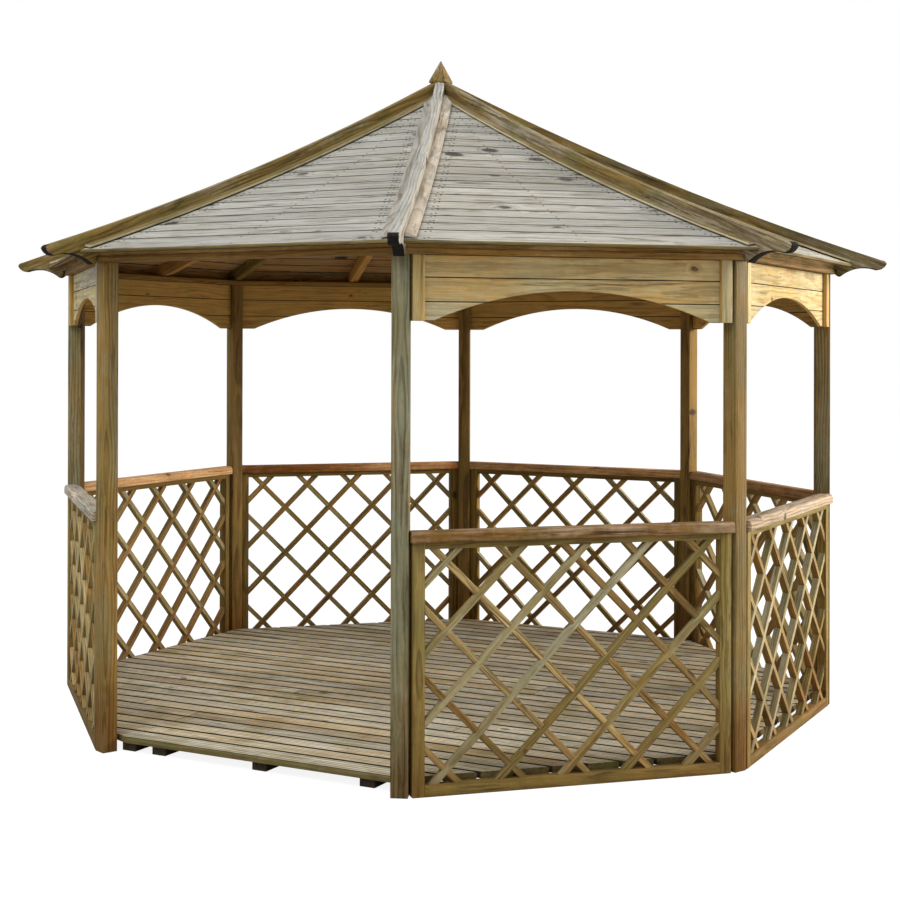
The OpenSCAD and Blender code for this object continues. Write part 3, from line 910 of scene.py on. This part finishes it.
def makeFillers():                                   # boards that close the eaves above the wall plates
    s = fillerSet
    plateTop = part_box("wall_plates")[1].z
    inner, outer = wallLine + s["outside"], wallLine + s["outside"] + s["thick"]
    high = roofAt(outer) - boardThick - s["clear"]
    filler = block("filler", (-s["reach"], -outer, plateTop), (s["reach"], -inner, high))
    trimToHips(filler, s["clear"])
    easeAlongX(filler, s["arris"])
    giveGrain(filler, (1, 0, 0), (0, 0, 1))
    finishOn(filler, finishes["plate"])
    # bay 2's filler gets the paler, more worn colour: painted light
    fillers = [twin(filler, "filler", bayMatrix(bay), bay * s["shift"], s["worn"] if bay == 2 else 0)
               for bay in range(8)]
    discard(filler)
    return joined("eaveFillers", fillers)


seat(makeFillers(), "frame_timber")
print("eaves closed")


deckSet = dict(firstBoard=0.121, cover=0.109, gap=0.011, arris=0.0055,
               grooves=(-0.030, -0.010, 0.010, 0.030), grooveWide=0.0022, grooveDeep=0.0016,
               margin=0.010, jointGap=0.004, over=0.010, least=0.020, worn=(-0.35, 0.25),
               cornerClear=0.004, entranceClear=0.024,
               frontJoint=-0.641, thirdJoints=(-0.481, 0.035, 0.551), fifthJoints=(0.551, -0.997, 1.067))


def makeDeck():
    s = deckSet
    edge, top, thick = deckHigh.y, deckHigh.z, deckHigh.z - deckLow.z
    wide = s["cover"] - s["gap"]
    board = block("board", (0, -wide / 2, -thick), (1, wide / 2, 0))
    easeAlongX(board, s["arris"], 2)
    cuts = []
    for g in s["grooves"]:
        cuts += [((0, g + side * s["grooveWide"], 0), (0, 1, 0)) for side in (-1, 0, 1)]
    score(board, cuts)
    pushPoints(board, lambda spot: spot.z > -hair and min(abs(spot.y - g) for g in s["grooves"]) < hair,
               (0, 0, -s["grooveDeep"]))
    finishOn(board, finishes["deck"], finishes["deckJointShade"], finishes["deckGrooveShade"], finishes["eave"])
    # the sides and rounded arrises of each board are painted near-black: painted shade in the gaps, with
    # dirt
    paintFaces(board, lambda face: abs(face.normal.y) > 0.3, 1)
    # the groove walls are painted darker: painted shade and dirt in the grooves
    paintFaces(board, lambda face: 0.3 < abs(face.normal.y) < 0.8
               and abs(face.center.y) < wide / 2 - s["margin"], 2)
    giveGrain(board, centre=(0, 0, -thick / 2))
    marks = [-edge, -edge + s["firstBoard"]]
    while marks[-1] + s["cover"] < edge - s["least"]:
        marks.append(marks[-1] + s["cover"])
    marks.append(edge)
    boards = []
    for row, (front, back) in enumerate(zip(marks[:-1], marks[1:])):
        front += s["gap"] / 2 if row else 0
        back -= s["gap"] / 2 if row < len(marks) - 2 else 0
        stops = [deckLow.x - s["over"]]
        if row in (1, 3, 4):
            stops.append(s["frontJoint"])
        elif row % 3 == 1:
            stops.append(s["thirdJoints"][row // 3 % 3])
        elif row % 5 == 0 and row:
            stops.append(s["fifthJoints"][row // 5 % 3])
        stops.append(deckHigh.x + s["over"])
        for a, b in zip(stops[:-1], stops[1:]):
            length = b - a - s["jointGap"]
            place = (Matrix.Translation((a + s["jointGap"] / 2, (front + back) / 2, top))
                     @ Matrix.Diagonal((length, (back - front) / wide, 1, 1)))
            mate = twin(board, "board", place, chance.rand(), chance.uniform(*s["worn"]))
            grain = mate.data.attributes["grain"].data
            for item in grain:
                item.vector = (item.vector[0] * length, item.vector[1], item.vector[2])
            if row == 0:
                paintFaces(mate, lambda face: face.normal.y < -0.8, 3)
            boards.append(mate)
    discard(board)
    deck = joined("deck", boards)
    cuts = []
    for i in range(8):
        way = wayAt(i * eighth)
        if i not in (0, 4):
            cuts.append((scaled(way, edge), way))
        way = wayAt(i * eighth - halfTurn)
        ring = postRing - postHalf - (s["entranceClear"] if i == 0 else s["cornerClear"])
        cuts.append((scaled(way, ring), way))
    trim(deck, cuts)
    paintFaces(deck, lambda face: abs(face.normal.z) < 0.3 and abs(face.normal.y) < 0.98, 3)
    return deck


deckPiece = makeDeck()
deckPiece.name = "deckBoards"
seat(deckPiece, "deck_boards", "deck")
print("deck made")


studioSet = dict(floorSize=60, keyPower=1490, keyFrom=(32, 14), keyAway=12, keySize=3.5,
                 fillPower=540, fillFrom=(-96, 44), fillAway=11, fillSize=6.0,
                 zenith=0.77, horizon=0.54, glow=0.76, glowLevel=1.16)


def makeStage():
    s = studioSet
    pickNone()
    bpy.ops.mesh.primitive_plane_add(size=s["floorSize"], location=(0, 0, cadLow.z - 0.001))
    floor = bpy.context.object
    floor.name = "studioFloor"
    paper = bpy.data.materials.new("studioFloor")
    paper.use_nodes = True
    tree = paper.node_tree
    shader = tree.nodes["Principled BSDF"]
    shader.inputs["Roughness"].default_value = 1
    shader.inputs["Specular IOR Level"].default_value = 0
    glow = tree.nodes.new("ShaderNodeEmission")
    mix = tree.nodes.new("ShaderNodeMixShader")
    path = tree.nodes.new("ShaderNodeLightPath")
    seen = path.outputs["Is Camera Ray"]
    feed(tree, shader.inputs["Base Color"], blend(tree, seen, (0.52, 0.50, 0.47, 1), (0.9, 0.9, 0.9, 1)))
    feed(tree, mix.inputs[0], maths(tree, "MULTIPLY", seen, s["glow"]))
    feed(tree, mix.inputs[1], shader.outputs[0])
    glow.inputs[1].default_value = s["glowLevel"]
    feed(tree, mix.inputs[2], glow.outputs[0])
    feed(tree, tree.nodes["Material Output"].inputs[0], mix.outputs[0])
    finishOn(floor, paper)

    world = bpy.data.worlds.new("studio")
    bpy.context.scene.world = world
    world.use_nodes = True
    tree = world.node_tree
    sky = tree.nodes["Background"]
    path = tree.nodes.new("ShaderNodeLightPath")
    seen = maths(tree, "MAXIMUM", path.outputs["Is Glossy Ray"], path.outputs["Is Transmission Ray"])
    seen = maths(tree, "MAXIMUM", path.outputs["Is Camera Ray"], seen)
    rise = tree.nodes.new("ShaderNodeSeparateXYZ")
    feed(tree, rise.inputs[0], put(tree, "TexCoord", 0))
    soft = ramp(tree, rise.outputs[2], 0, 1, s["horizon"], s["zenith"], False)
    feed(tree, sky.inputs[0], blend(tree, seen, (0.95, 0.98, 1, 1), (1, 1, 1, 1)))
    feed(tree, sky.inputs[1], ramp(tree, seen, 0, 1, soft, 1, False))

    for name, colour in (("key", (1, 0.91, 0.81)), ("fill", (0.9, 0.95, 1))):
        turn, rise = (math.radians(angle) for angle in s[name + "From"])
        lamp = bpy.data.lights.new(name + "Light", "AREA")
        lamp.energy, lamp.size, lamp.color = s[name + "Power"], s[name + "Size"], colour
        holder = bpy.data.objects.new(name + "Light", lamp)
        bpy.context.scene.collection.objects.link(holder)
        way = Vector((math.cos(turn) * math.cos(rise), math.sin(turn) * math.cos(rise), math.sin(rise)))
        holder.location = Vector((0, 0, 1.3)) + way * s[name + "Away"]
        holder.rotation_euler = way.to_track_quat("Z", "Y").to_euler()


makeStage()
cameraSet = dict(place=(3.7643, -7.3507, 1.7710), heading=2.0713, tilt=0.0026, roll=0.0027, lens=64.92,
                 shift=(0.0601, -0.1219))


def makeCamera():
    s = cameraSet
    right = Vector((math.sin(s["heading"]), -math.cos(s["heading"]), 0))
    level = Vector((math.cos(s["heading"]), math.sin(s["heading"]), 0))
    forward = math.cos(s["tilt"]) * level + Vector((0, 0, math.sin(s["tilt"])))
    up = right.cross(forward)
    side = math.cos(s["roll"]) * right + math.sin(s["roll"]) * up
    head = math.cos(s["roll"]) * up - math.sin(s["roll"]) * right
    lens = bpy.data.cameras.new("viewCamera")
    lens.lens = s["lens"]
    lens.sensor_width = 36
    lens.shift_x, lens.shift_y = s["shift"]
    camera = bpy.data.objects.new("viewCamera", lens)
    bpy.context.scene.collection.objects.link(camera)
    camera.matrix_world = Matrix((side, head, -forward)).transposed().to_4x4()
    camera.location = s["place"]
    bpy.context.scene.camera = camera


makeCamera()
bpy.context.scene.view_settings.view_transform = "Standard"
